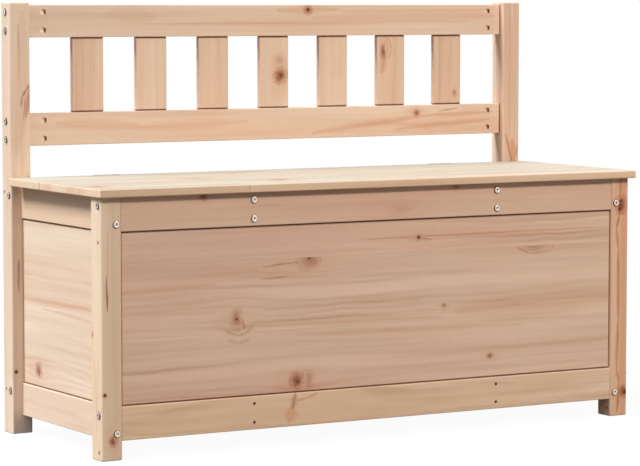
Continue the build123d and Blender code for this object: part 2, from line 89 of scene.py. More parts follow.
def ramp(tree, value, start, end, low=0.0, high=1.0):
    """Smooth step from low at start to high at end."""
    inputs = {"Value": value, "From Min": start, "From Max": end, "To Min": low, "To Max": high}
    return add(tree, "ShaderNodeMapRange", inputs, interpolation_type="SMOOTHSTEP").outputs["Result"]


def noise(tree, place, stretch, detail=2.0):
    """Noise node, with its pattern squeezed by a different amount along each axis."""
    squeezed = vector(tree, "MULTIPLY", place, stretch)
    return add(tree, "ShaderNodeTexNoise", {"Vector": squeezed, "Scale": 1.0, "Detail": detail}).outputs


def mix(tree, factor, first, second):
    """Mix of two colours."""
    return add(tree, "ShaderNodeMix", {0: factor, 6: first, 7: second}, data_type="RGBA").outputs[2]


def new_group(name, inputs, outputs):
    """Empty shader group with named sockets: returns its tree, its inputs and its output node."""
    tree = bpy.data.node_groups.new(name, "ShaderNodeTree")
    for label, kind in inputs.items():
        tree.interface.new_socket(label, in_out="INPUT", socket_type=kind)
    for label, kind in outputs.items():
        tree.interface.new_socket(label, in_out="OUTPUT", socket_type=kind)
    given = tree.nodes.new("NodeGroupInput").outputs
    return tree, given, tree.nodes.new("NodeGroupOutput")


def use_group(tree, group, inputs):
    """Places a shader group in a tree."""
    return add(tree, "ShaderNodeGroup", inputs, node_tree=group).outputs


def colour(red, green, blue):
    """Linear colour from screen values of 0 to 255."""
    parts = [value / 255.0 for value in (red, green, blue)]
    return [p / 12.92 if p <= 0.04045 else ((p + 0.055) / 1.055) ** 2.4 for p in parts] + [1.0]


def new_material(name):
    """Empty material: returns it and its tree."""
    material = bpy.data.materials.new(name)
    material.use_nodes = True
    return material, material.node_tree


def show(tree, looks, relief):
    """Feeds a group's colour, roughness and height to a material's shader, and returns the shader."""
    shader = tree.nodes["Principled BSDF"]
    bump = add(tree, "ShaderNodeBump", {**relief, "Height": looks["Height"]})
    tree.links.new(looks["Colour"], shader.inputs["Base Color"])
    tree.links.new(looks["Roughness"], shader.inputs["Roughness"])
    tree.links.new(bump.outputs["Normal"], shader.inputs["Normal"])
    return shader


def coat(node_name, material):
    """Puts one material on the whole of a node."""
    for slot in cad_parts[node_name].material_slots:
        slot.material = material


# Shader groups that the pine pieces share

SEAM_WIDTH = 0.0007
END_SHARE = 0.35
WAVE_HEIGHT = 0.003
FLAT_ON = (0.6, 0.95)


def board_group():
    """Place on a board along its fibres, across its face and through it, its top face and its end grain.

    Board wavers a little, as the fibres do, and Straight doesn't. Fade weakens streaks here and there.
    """
    tree, given, result = new_group(
        "Board",
        {
            "Position": VECTOR, "Normal": VECTOR, "Middle": VECTOR,
            "Along": VECTOR, "Across": VECTOR, "Through": VECTOR,
        },
        {"Straight": VECTOR, "Board": VECTOR, "Fade": FLOAT, "Face": FLOAT, "End Grain": FLOAT},
    )
    offset = vector(tree, "SUBTRACT", given["Position"], given["Middle"])
    parts = [vector(tree, "DOT_PRODUCT", offset, given[axis]) for axis in ("Along", "Across", "Through")]
    straight = combine(tree, *parts)
    tree.links.new(straight, result.inputs["Straight"])
    wave = noise(tree, straight, (22.0, 0.0, 0.0), 1.0)["Fac"]
    wave = calc(tree, "MULTIPLY_ADD", wave, WAVE_HEIGHT, -WAVE_HEIGHT / 2)
    board = vector(tree, "ADD", straight, combine(tree, 0.0, wave, wave))
    tree.links.new(board, result.inputs["Board"])
    fade = noise(tree, straight, (14.0, 40.0, 40.0), 1.0)["Fac"]
    tree.links.new(ramp(tree, fade, 0.35, 0.6, 0.4, 1.0), result.inputs["Fade"])
    facing = vector(tree, "DOT_PRODUCT", given["Normal"], given["Through"])
    tree.links.new(ramp(tree, facing, *FLAT_ON), result.inputs["Face"])
    facing = calc(tree, "ABSOLUTE", vector(tree, "DOT_PRODUCT", given["Normal"], given["Along"]))
    tree.links.new(ramp(tree, facing, *FLAT_ON), result.inputs["End Grain"])
    return tree


def seam_group():
    """Glue seam along a board: counts the staves from below and draws the fine line between them."""
    tree, given, result = new_group(
        "Glue seam",
        {"Board": VECTOR, "Stave": FLOAT, "Seam": FLOAT, "Place": FLOAT},
        {"Stave": FLOAT, "Seam": FLOAT},
    )
    across = split(tree, given["Board"])[1]
    above = calc(tree, "GREATER_THAN", across, given["Place"])
    tree.links.new(calc(tree, "ADD", given["Stave"], above), result.inputs["Stave"])
    gap = calc(tree, "ABSOLUTE", calc(tree, "SUBTRACT", across, given["Place"]))
    line = ramp(tree, gap, SEAM_WIDTH, 0.0)
    tree.links.new(calc(tree, "MAXIMUM", given["Seam"], line), result.inputs["Seam"])
    return tree


def butt_group():
    """End joint in one stave: draws its line and gives the wood beyond it a grain of its own."""
    tree, given, result = new_group(
        "End joint",
        {"Board": VECTOR, "Stave": FLOAT, "Seam": FLOAT, "Number": FLOAT, "Place": FLOAT},
        {"Stave": FLOAT, "Seam": FLOAT},
    )
    along = split(tree, given["Board"])[0]
    here = calc(tree, "COMPARE", given["Stave"], given["Number"], 0.4)
    beyond = calc(tree, "MULTIPLY", calc(tree, "GREATER_THAN", along, given["Place"]), here)
    tree.links.new(calc(tree, "MULTIPLY_ADD", beyond, 11.0, given["Stave"]), result.inputs["Stave"])
    gap = calc(tree, "ABSOLUTE", calc(tree, "SUBTRACT", along, given["Place"]))
    line = calc(tree, "MULTIPLY", ramp(tree, gap, SEAM_WIDTH, 0.0), here)
    tree.links.new(calc(tree, "MAXIMUM", given["Seam"], line), result.inputs["Seam"])
    return tree


def on_surface(tree, given):
    """Place along and across the surface that a mark lies on: the board's face, or its side."""
    along, across, through = split(tree, given["Board"])
    aside = calc(tree, "SUBTRACT", through, across)
    return along, calc(tree, "MULTIPLY_ADD", aside, given["Side"], across)


def knot_group():
    """Knot through a board: the grain flows round it, and it leaves a body, dark parts and a stain."""
    tree, given, result = new_group(
        "Knot",
        {
            "Board": VECTOR, "Marks": VECTOR, "Place": VECTOR, "Radius": FLOAT, "Stretch": FLOAT,
            "Sweep": FLOAT, "Depth": FLOAT, "Side": FLOAT, "Lower Edge": FLOAT, "Upper Edge": FLOAT,
        },
        {"Board": VECTOR, "Marks": VECTOR},
    )
    along, across = on_surface(tree, given)
    inside = calc(
        tree, "MULTIPLY",
        calc(tree, "GREATER_THAN", across, given["Lower Edge"]),
        calc(tree, "LESS_THAN", across, given["Upper Edge"]),
    )

    # Distance from the middle in radii, with a ragged outline of its own
    offset = vector(tree, "SUBTRACT", combine(tree, along, across, 0.0), given["Place"])
    reach = calc(tree, "MULTIPLY", given["Radius"], given["Stretch"])
    flat = vector(tree, "DIVIDE", offset, combine(tree, reach, given["Radius"], 1.0))
    apart = vector(tree, "MULTIPLY_ADD", given["Place"], (60.0, 60.0, 0.0), flat)
    ragged = noise(tree, apart, (1.2, 1.2, 1.0), 3.0)["Color"]
    ragged = vector(tree, "MULTIPLY_ADD", ragged, (0.9, 0.9, 0.0), (-0.45, -0.45, 0.0))
    distance = vector(tree, "LENGTH", vector(tree, "ADD", flat, ragged))

    # Body, dark parts and a stain that is drawn out along the grain
    body = ramp(tree, distance, 1.4, 0.35)
    patchy = ramp(tree, noise(tree, apart, (0.9, 1.4, 1.0))["Fac"], 0.38, 0.6)
    turns = calc(tree, "SINE", calc(tree, "MULTIPLY", distance, 15.0))
    turns = calc(tree, "MULTIPLY", ramp(tree, turns, 0.0, 1.0, 0.0, 0.3), body)
    rim = calc(tree, "MULTIPLY", ramp(tree, distance, 0.7, 0.95), ramp(tree, distance, 1.3, 1.0))
    rim = calc(tree, "MULTIPLY", calc(tree, "MULTIPLY", rim, patchy), 0.25)
    blotches = calc(tree, "MULTIPLY", patchy, ramp(tree, distance, 0.95, 0.4))
    blotches = calc(tree, "MULTIPLY", blotches, 0.55)
    core = calc(tree, "MULTIPLY", ramp(tree, distance, 0.85, 0.2), 0.7)
    core = calc(tree, "MAXIMUM", calc(tree, "MAXIMUM", ramp(tree, distance, 0.4, 0.1), core), blotches)
    dark = calc(tree, "MAXIMUM", calc(tree, "MAXIMUM", turns, rim), core)
    drawn = vector(tree, "LENGTH", vector(tree, "MULTIPLY_ADD", flat, (0.5, 1.0, 0.0), ragged))
    stain = calc(tree, "MULTIPLY", ramp(tree, drawn, 2.2, 0.6), 0.4)
    strength = calc(tree, "MULTIPLY", inside, given["Depth"])
    left = combine(tree, strength, strength, strength)
    left = vector(tree, "MULTIPLY", combine(tree, body, dark, stain), left)
    tree.links.new(vector(tree, "MAXIMUM", given["Marks"], left), result.inputs["Marks"])

    # The grain runs round it as a stream runs round a stone
    stream = vector(tree, "LENGTH", vector(tree, "MULTIPLY", flat, (0.42, 1.0, 0.0)))
    divisor = calc(tree, "MULTIPLY_ADD", stream, stream, 0.7)
    push = calc(tree, "MULTIPLY", split(tree, offset)[1], given["Sweep"])
    push = calc(tree, "MULTIPLY", calc(tree, "DIVIDE", push, divisor), inside)
    push_aside = calc(tree, "MULTIPLY", push, given["Side"])
    pushed = combine(tree, 0.0, calc(tree, "SUBTRACT", push, push_aside), push_aside)
    tree.links.new(vector(tree, "SUBTRACT", given["Board"], pushed), result.inputs["Board"])
    return tree


def streak_group():
    """Dark or stained streak from one place to another, tapering to both its ends."""
    tree, given, result = new_group(
        "Streak",
        {
            "Board": VECTOR, "Fade": FLOAT, "Marks": VECTOR, "Start": VECTOR, "End": VECTOR,
            "Width": FLOAT, "Dark": FLOAT, "Stain": FLOAT, "Side": FLOAT,
        },
        {"Marks": VECTOR},
    )
    along, across = on_surface(tree, given)
    reach = vector(tree, "SUBTRACT", given["End"], given["Start"])
    way = vector(tree, "SUBTRACT", combine(tree, along, across, 0.0), given["Start"])
    share = {0: vector(tree, "DOT_PRODUCT", way, reach), 1: vector(tree, "DOT_PRODUCT", reach, reach)}
    share = add(tree, "ShaderNodeMath", share, operation="DIVIDE", use_clamp=True).outputs[0]
    nearest = vector(tree, "MULTIPLY", reach, combine(tree, share, share, share))
    aside = vector(tree, "LENGTH", vector(tree, "SUBTRACT", way, nearest))
    fullness = calc(tree, "SINE", calc(tree, "MULTIPLY", share, math.pi))
    fullness = calc(tree, "MULTIPLY_ADD", fullness, 1.0 - END_SHARE, END_SHARE)
    width = calc(tree, "MULTIPLY", given["Width"], fullness)
    distance = calc(tree, "DIVIDE", aside, width)
    dark = calc(tree, "MULTIPLY", given["Dark"], given["Fade"])
    dark = calc(tree, "MULTIPLY", ramp(tree, distance, 1.2, 0.0), dark)
    stain = calc(tree, "MULTIPLY", ramp(tree, distance, 3.0, 0.3), given["Stain"])
    left = vector(tree, "MAXIMUM", given["Marks"], combine(tree, 0.0, dark, stain))
    tree.links.new(left, result.inputs["Marks"])
    return tree


def grain_group():
    """Growth rings of a board sawn from a trunk, with the bands, streaks and fine fibres between them."""
    tree, given, result = new_group(
        "Pine grain",
        {
            "Board": VECTOR, "Seed": FLOAT, "Stave": FLOAT, "Ring Width": FLOAT, "Pith": VECTOR,
            "Wander": FLOAT,
        },
        {"Late Wood": FLOAT, "Band": FLOAT, "Haze": FLOAT, "Blush": FLOAT, "Fibre": FLOAT, "Pores": FLOAT},
    )
    number = calc(tree, "MULTIPLY_ADD", given["Stave"], 7.31, given["Seed"])
    chance = add(tree, "ShaderNodeTexWhiteNoise", {"W": number}, noise_dimensions="1D").outputs["Color"]
    place = vector(tree, "MULTIPLY_ADD", chance, (9.0, 0.07, 0.05), given["Board"])
    apart = vector(tree, "MULTIPLY_ADD", chance, (40.0, 40.0, 40.0), place)

    # Distance from the pith, which wanders along the trunk
    slow = noise(tree, apart, (1.9, 5.0, 5.0))["Color"]
    slow = vector(tree, "SUBTRACT", slow, (0.5, 0.5, 0.5))
    wander = combine(tree, 0.0, given["Wander"], given["Wander"])
    slow = vector(tree, "MULTIPLY", slow, wander)
    trunk = vector(tree, "ADD", vector(tree, "SUBTRACT", place, given["Pith"]), slow)
    distance = vector(tree, "LENGTH", vector(tree, "MULTIPLY", trunk, (0.0, 1.0, 1.0)))
    uneven = noise(tree, apart, (5.0, 26.0, 26.0))["Fac"]
    rings = calc(tree, "DIVIDE", distance, given["Ring Width"])
    rings = calc(tree, "MULTIPLY_ADD", uneven, 1.7, rings)

    # Each year's late wood is a line that darkens slowly and ends at once, and each year differs
    part = calc(tree, "FRACT", rings)
    year = calc(tree, "ADD", calc(tree, "FLOOR", rings), number)
    strength = add(tree, "ShaderNodeTexWhiteNoise", {"W": year}, noise_dimensions="1D").outputs["Value"]
    strength = calc(tree, "POWER", strength, 2.2)
    line = calc(tree, "MULTIPLY", ramp(tree, part, 0.05, 0.75), ramp(tree, part, 1.0, 0.75))
    fade = ramp(tree, noise(tree, apart, (2.8, 14.0, 14.0))["Fac"], 0.32, 0.64, 0.05, 1.0)
    calm = ramp(tree, noise(tree, apart, (1.1, 7.0, 7.0), 1.0)["Fac"], 0.35, 0.62, 0.25, 1.0)
    late = calc(tree, "MULTIPLY", line, strength)
    late = calc(tree, "MULTIPLY", late, calc(tree, "MULTIPLY", fade, calm))
    tree.links.new(late, result.inputs["Late Wood"])

    # Soft bands and streaks along the grain, patches of warmer wood, fine fibres and short resin pores
    for name, stretch, detail, low, high in (
        ("Band", (0.9, 22.0, 22.0), 3.0, 0.28, 0.72),
        ("Haze", (2.4, 85.0, 85.0), 2.0, 0.4, 0.75),
        ("Blush", (1.6, 7.0, 7.0), 1.0, 0.32, 0.68),
        ("Fibre", (11.0, 520.0, 520.0), 3.0, 0.25, 0.75),
        ("Pores", (60.0, 640.0, 640.0), 1.0, 0.66, 0.78),
    ):
        pattern = noise(tree, apart, stretch, detail)["Fac"]
        tree.links.new(ramp(tree, pattern, low, high), result.inputs[name])
    return tree


def finish_group():
    """Colour, roughness and relief of planed pine from its grain and its marks."""
    tree, given, result = new_group(
        "Planed pine",
        {
            "Late Wood": FLOAT, "Band": FLOAT, "Haze": FLOAT, "Blush": FLOAT, "Fibre": FLOAT,
            "Pores": FLOAT, "Marks": VECTOR, "Seam": FLOAT, "End Grain": FLOAT, "Contrast": FLOAT,
            "Pale Colour": COLOUR, "Warm Colour": COLOUR, "Line Colour": COLOUR,
            "Knot Colour": COLOUR, "Core And Shade Colour": COLOUR, "Stain Colour": COLOUR,
        },
        {"Colour": COLOUR, "Roughness": FLOAT, "Height": FLOAT},
    )
    body, dark, stain = split(tree, given["Marks"])
    tint = mix(tree, given["Blush"], given["Pale Colour"], given["Warm Colour"])
    shade = calc(tree, "MULTIPLY", given["Late Wood"], 0.6)
    shade = calc(tree, "MULTIPLY_ADD", given["Band"], 0.4, shade)
    shade = calc(tree, "MULTIPLY_ADD", given["Haze"], 0.3, shade)
    shade = calc(tree, "MULTIPLY", shade, given["Contrast"])
    shade = calc(tree, "MULTIPLY", shade, calc(tree, "MULTIPLY_ADD", given["End Grain"], -0.75, 1.0))
    shade = calc(tree, "MULTIPLY_ADD", given["Fibre"], 0.08, shade)
    shade = calc(tree, "MULTIPLY_ADD", given["End Grain"], 0.1, shade)
    tint = mix(tree, shade, tint, given["Line Colour"])
    # The dark marks include painted shade in the gaps, on the bore walls and at the backrest rails' ends
    for mask, share, other in (
        (given["Pores"], 0.2, "Knot Colour"), (stain, 0.55, "Stain Colour"), (body, 0.7, "Knot Colour"),
        (dark, 0.9, "Core And Shade Colour"), (given["Seam"], 0.12, "Core And Shade Colour"),
    ):
        tint = mix(tree, calc(tree, "MULTIPLY", mask, share), tint, given[other])
    tree.links.new(tint, result.inputs["Colour"])

    rough = calc(tree, "MULTIPLY_ADD", given["Fibre"], 0.12, 0.5)
    rough = calc(tree, "MULTIPLY_ADD", body, -0.12, rough)
    tree.links.new(rough, result.inputs["Roughness"])

    relief = calc(tree, "MULTIPLY", given["Fibre"], 0.3)
    for mask, rise in (("Late Wood", 0.3), ("Pores", -0.5), ("Seam", -0.5)):
        relief = calc(tree, "MULTIPLY_ADD", given[mask], rise, relief)
    tree.links.new(relief, result.inputs["Height"])
    return tree


board_tree = board_group()
seam_tree = seam_group()
butt_tree = butt_group()
knot_tree = knot_group()
streak_tree = streak_group()
grain_tree = grain_group()
finish_tree = finish_group()

KNOT_COLOUR = colour(188, 116, 78)
# Colour of knot cores and glue seams, and of the painted shade in gaps, on bore walls and at rail ends
CORE_AND_SHADE_COLOUR = colour(102, 42, 14)
STAIN_COLOUR = colour(206, 132, 86)
# Width of the painted shade in the gaps round the panels and at the slats' ends
GAP_SHADE_WIDTH = 0.0020
PANEL_TONGUE = 0.007
SLAT_TENON = 0.013
BORE_WALL = 0.0043
# Width of the painted shade on the bores' right-hand walls
BORE_SHADE_WIDTH = 0.0017
LINE_OVERRUN = 4
MERGE_DISTANCE = 1e-5
PINE_SHINE = 0.3
PINE_RELIEF = {"Strength": 0.35, "Distance": 0.0004}
SEED_COUNT = 97

# Pale, warm and line colours of the pine that the pieces are sawn from, and the lid top's tone, which is
# darker and greyer as painted shade
TONES = {
    "rose": (colour(235, 207, 179), colour(236, 199, 173), colour(180, 132, 100)),
    "clay": (colour(229, 198, 169), colour(229, 190, 162), colour(178, 128, 98)),
    "straw": (colour(247, 219, 188), colour(244, 210, 176), colour(192, 146, 110)),
    "honey": (colour(243, 208, 176), colour(239, 190, 152), colour(184, 118, 78)),
    "cream": (colour(243, 221, 196), colour(240, 212, 186), colour(194, 148, 110)),
    "shell": (colour(238, 215, 190), colour(237, 204, 178), colour(196, 147, 112)),
    # Painted shade: the lid top's tone, darker and greyer than the wood, to offset the strong light from
    # above
    "shaded_oat": (colour(193, 192, 178), colour(196, 184, 168), colour(163, 146, 121)),
    "milk": (colour(237, 211, 180), colour(235, 203, 170), colour(198, 160, 124)),
}


def knot(u, v, radius, stretch=1.0, sweep=1.0, depth=0.8, side=False):
    """Knot at a place on a board, longer along the grain by stretch.

    The grain bends round it by sweep, and depth is the strength of its colours.
    """
    return knot_tree, False, {
        "Place": (u, v, 0.0), "Radius": radius, "Stretch": stretch, "Sweep": sweep, "Depth": depth,
        "Side": float(side),
    }


def streak(start, end, width, dark=0.0, stain=0.0, side=False, steady=False):
    """Streak between two places on a board, with the strengths of its dark line and of its stain.

    A steady one is straight and doesn't fade.
    """
    return streak_tree, steady, {
        "Start": (*start, 0.0), "End": (*end, 0.0), "Width": width, "Dark": dark, "Stain": stain,
        "Side": float(side),
    }


def pin(u, v, radius, side=False):
    """Tiny round dark knot."""
    return streak((u, v), (u, v), radius / END_SHARE, 1.5, 0.2, side, True)


def crooked(places, width, dark, stain, side=False):
    """Line of streaks from place to place."""
    return [streak(start, end, width, dark, stain, side) for start, end in zip(places, places[1:])]


def board_halves(node_name, grain):
    """Half the length and half the width of a board."""
    low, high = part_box(node_name)
    return [(high["XYZ".index(axis)] - low["XYZ".index(axis)]) / 2 for axis in grain[:2]]


def painted_gap_shade(node_name, grain, tongue, across=False, dark=0.9):
    """Painted shade: dark lines where a panel's long edges, or a slat's ends, meet the rails in front of
    its tongues, in the shadow gaps.

    They run on past the board, so that they don't taper on it.
    """
    length, width = board_halves(node_name, grain)
    lines = []
    for sign in (-1, 1):
        if across:
            place = sign * (length - tongue)
            ends = (place, -LINE_OVERRUN * width), (place, LINE_OVERRUN * width)
        else:
            place = sign * (width - tongue)
            ends = (-LINE_OVERRUN * length, place), (LINE_OVERRUN * length, place)
        # Painted shade along the gap
        lines.append(streak(*ends, GAP_SHADE_WIDTH, dark, steady=True))
    return lines


def islands(mesh):
    """Points of each loose shape in a mesh."""
    shape = bmesh.new()
    shape.from_mesh(mesh)
    bmesh.ops.remove_doubles(shape, verts=shape.verts, dist=MERGE_DISTANCE)
    left = set(shape.verts)
    found = []
    while left:
        stack = [left.pop()]
        points = []
        while stack:
            vert = stack.pop()
            points.append(vert.co.copy())
            linked = {edge.other_vert(vert) for edge in vert.link_edges} & left
            left -= linked
            stack.extend(linked)
        found.append(points)
    shape.free()
    return found


def painted_bore_shade(node_name):
    """Painted shade: dark colour on the right-hand walls of the nuts' bores in a long rail."""
    low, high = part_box(node_name)
    marks = []
    for points in islands(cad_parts["barrel_nuts"].data):
        centre = sum(points, Vector()) / len(points)
        if all(a < value < b for a, value, b in zip(low, centre, high)):
            u = centre[0] - (low[0] + high[0]) / 2 + BORE_WALL
            v = centre[2] - (low[2] + high[2]) / 2
            # Painted shade on the bore's right-hand wall
            marks.append(streak((u, v - BORE_WALL), (u, v + BORE_WALL), BORE_SHADE_WIDTH, 1.3, steady=True))
    return marks


def pine(node_name, grain, tone, ring=0.009, pith=(0.02, 0.07), wander=0.03, contrast=0.5,
         seams=(), butts=(), marks=(), edge_tone=None):
    """Gives a wooden node its own pine: grain names its axes along the fibres, across and through.

    Places are in metres from the middle of the board, along and across it. Seams are glue lines between
    staves, and butts are the staves' end joints, from below. Knots come last, since they bend the board's
    grain and would bend the streaks too. All but the top face may have a tone of its own.
    """
    material, tree = new_material("pine_" + node_name)
    low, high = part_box(node_name)
    source = add(tree, "ShaderNodeTexCoord").outputs
    lying = use_group(tree, board_tree, {
        "Position": source["Object"], "Normal": source["Normal"],
        "Middle": [(a + b) / 2 for a, b in zip(low, high)],
        "Along": AXES[grain[0]], "Across": AXES[grain[1]], "Through": AXES[grain[2]],
    })
    state = {
        "Board": lying["Board"], "Fade": lying["Fade"], "Marks": (0, 0, 0), "Stave": 0.0, "Seam": 0.0,
    }
    straight = {"Board": lying["Straight"], "Fade": 1.0}

    def step(group, steady, inputs):
        """Adds one group that changes the state of the board."""
        current = {**state, **straight} if steady else state
        passed = {name: current[name] for name in current if name in group.nodes["Group Input"].outputs}
        outputs = use_group(tree, group, {**passed, **inputs})
        state.update({socket.name: socket for socket in outputs})

    for place in seams:
        step(seam_tree, True, {"Place": place})
    for number, place in enumerate(butts):
        step(butt_tree, True, {"Place": place, "Number": float(number)})
    for group, steady, inputs in sorted(marks, key=lambda mark: mark[0] == knot_tree):
        if group == knot_tree:
            height = inputs["Place"][1]
            inputs["Lower Edge"] = max([place for place in seams if place < height], default=-1.0)
            inputs["Upper Edge"] = min([place for place in seams if place > height], default=1.0)
        step(group, steady, inputs)

    seed = float(sum((i + 1) * ord(letter) for i, letter in enumerate(node_name)) % SEED_COUNT)
    grown = use_group(tree, grain_tree, {
        "Board": state["Board"], "Stave": state["Stave"], "Seed": seed, "Ring Width": ring,
        "Pith": (0.0, *pith), "Wander": wander,
    })
    pale, warm, line = TONES[tone]
    if edge_tone:
        pairs = zip(TONES[edge_tone], TONES[tone])
        pale, warm, line = [mix(tree, lying["Face"], edge, face) for edge, face in pairs]
    inputs = {socket.name: socket for socket in grown}
    inputs.update({
        "Marks": state["Marks"], "Seam": state["Seam"], "End Grain": lying["End Grain"],
        "Contrast": contrast, "Pale Colour": pale, "Warm Colour": warm, "Line Colour": line,
        "Knot Colour": KNOT_COLOUR, "Core And Shade Colour": CORE_AND_SHADE_COLOUR, "Stain Colour": STAIN_COLOUR,
    })
    shader = show(tree, use_group(tree, finish_tree, inputs), PINE_RELIEF)
    shader.inputs["Specular IOR Level"].default_value = PINE_SHINE
    coat(node_name, material)


LONG_PANEL_SEAMS = (-0.035, 0.0867)
END_PANEL_SEAMS = (-0.035, 0.0845)
LID_SEAMS = (-0.067, 0.054)
LID_JOINTS = (-0.2627, 0.21, -0.05)

# Front of the box
pine("front_panel", "XZY", "rose", ring=0.011, pith=(0.30, 0.12), wander=0.045, contrast=0.7,
     seams=LONG_PANEL_SEAMS, marks=(
    *painted_gap_shade("front_panel", "XZY", PANEL_TONGUE),
    knot(-0.137, 0.0845, 0.0190, 1.25, 0.8, 0.5),
    pin(-0.138, 0.0845, 0.0030),
    streak((-0.229, 0.0745), (-0.160, 0.0795), 0.0018, 0.8, 0.5),
    streak((-0.232, 0.0535), (-0.180, 0.0555), 0.0014, 0.6, 0.4),
    knot(0.084, 0.1116, 0.0060, 1.1, 1.2, 0.6),
    pin(0.084, 0.1116, 0.0042),
    streak((0.086, 0.1100), (0.112, 0.1065), 0.0011, 0.8, 0.3),
    streak((-0.020, 0.1125), (0.460, 0.1145), 0.0014, 0.12, 0.8),
    knot(0.331, 0.0850, 0.0110, 3.2, 0.5, 0.3),
    streak((0.290, 0.0850), (0.320, 0.0725), 0.0014, 0.15, 0.8),
    streak((0.320, 0.0725), (0.366, 0.0760), 0.0014, 0.15, 0.8),
    streak((0.366, 0.0760), (0.372, 0.0850), 0.0012, 0.15, 0.7),
    knot(-0.280, -0.010, 0.0180, 0.7, 1.0, 0.5),
    pin(-0.279, -0.012, 0.0034),
    streak((-0.268, -0.012), (-0.264, -0.030), 0.0024, 0.55, 0.7),
    *crooked(((-0.302, -0.030), (-0.276, -0.040), (-0.262, -0.037), (-0.248, -0.026)), 0.0024, 0.3, 0.4),
    *crooked(((-0.296, -0.046), (-0.276, -0.053), (-0.254, -0.048)), 0.0026, 0.2, 0.3),
    knot(-0.162, -0.124, 0.0145, 1.0, 0.8, 1.0),
    knot(-0.138, -0.123, 0.0120, 0.8, 0.2, 0.3),
    knot(0.1375, -0.009, 0.0042, 1.1, 1.0, 0.7),
    knot(0.2346, -0.1065, 0.0058, 1.2, 0.8, 0.8),
    streak((-0.262, -0.026), (0.130, -0.030), 0.0026, 0.1, 0.4),
    streak((-0.160, -0.046), (0.300, -0.054), 0.0032, 0.08, 0.35),
    streak((-0.495, 0.044), (-0.320, 0.049), 0.0030, 0.08, 0.3),
    streak((-0.495, 0.007), (-0.290, 0.012), 0.0030, 0.08, 0.3),
    streak((0.170, -0.022), (0.500, -0.012), 0.0140, 0.0, 0.4),
))
pine("front_top_rail", "XZY", "clay", contrast=0.35, marks=(
    knot(-0.3435, 0.0245, 0.0070, 1.3, 1.0, 0.8),
    knot(0.046, -0.010, 0.0120, 2.2, 0.6, 0.15),
    knot(0.160, 0.023, 0.0060, 1.8, 0.8, 0.5),
))
pine("front_bottom_rail", "XZY", "straw", contrast=0.8, wander=0.045, marks=(
    streak((-0.166, 0.028), (-0.172, 0.002), 0.0042, 0.55, 0.8),
    streak((-0.172, 0.004), (-0.178, -0.018), 0.0075, 0.0, 0.8),
    *crooked(((-0.164, 0.015), (-0.144, 0.018), (-0.122, 0.026)), 0.0018, 0.35, 0.6),
    knot(-0.150, -0.006, 0.0100, 3.5, 2.0, 0.0),
))
pine("front_left_leg", "ZXY", "milk", contrast=0.5, marks=(
    knot(-0.186, 0.001, 0.0068, 1.3, 0.8, 1.0),
    pin(-0.108, -0.013, 0.0046),
    streak((0.088, -0.0085), (0.030, -0.0075), 0.0022, 1.1, 0.5),
    streak((0.165, -0.0060), (0.060, -0.0080), 0.0010, 0.3, 0.4),
    pin(0.144, -0.009, 0.0036, side=True),
    pin(-0.204, -0.009, 0.0036, side=True),
    knot(-0.010, 0.016, 0.0050, 1.2, 1.2, 0.8, side=True),
    streak((-0.040, 0.008), (-0.160, 0.000), 0.0016, 0.15, 0.5, side=True),
    streak((-0.050, -0.006), (-0.200, 0.004), 0.0014, 0.1, 0.45, side=True),
))
pine("front_right_leg", "ZXY", "honey", contrast=0.6, marks=(
    knot(0.1690, 0.003, 0.0130, 1.3, 1.0, 1.0),
    pin(0.1620, 0.000, 0.0060),
    pin(0.1760, 0.003, 0.0048),
    knot(-0.1740, 0.0120, 0.0130, 0.9, 1.0, 1.0),
    pin(-0.1750, 0.0150, 0.0068),
    streak((-0.174, -0.001), (-0.174, 0.019), 0.0060, 0.6, 1.0),
    *crooked((
        (0.230, 0.001), (0.180, 0.001), (0.150, -0.001), (0.126, -0.0075), (0.088, -0.0025),
        (-0.043, -0.0015), (-0.134, -0.0040), (-0.156, 0.0015), (-0.211, -0.0025),
    ), 0.0028, 0.6, 1.0),
    streak((0.260, 0.0080), (-0.260, 0.0100), 0.0060, 0.0, 0.8),
    pin(-0.203, -0.010, 0.0032, side=True),
))

# Left end
pine("left_panel", "YZX", "cream", ring=0.010, pith=(0.25, 0.10), wander=0.045, contrast=0.75,
     seams=END_PANEL_SEAMS, marks=(
    *painted_gap_shade("left_panel", "YZX", PANEL_TONGUE, dark=0.8),
    knot(0.0964, -0.115, 0.0130, 1.2, 0.9, 0.7),
    streak((0.0950, -0.113), (0.0950, -0.125), 0.0060, 0.9, 0.5, steady=True),
    streak((-0.160, 0.010), (0.170, 0.004), 0.0024, 0.1, 0.5),
    streak((-0.165, -0.012), (0.080, -0.006), 0.0020, 0.1, 0.45),
))
pine("left_top_rail", "YZX", "milk", contrast=0.35)
pine("left_bottom_rail", "YZX", "cream", contrast=0.45)

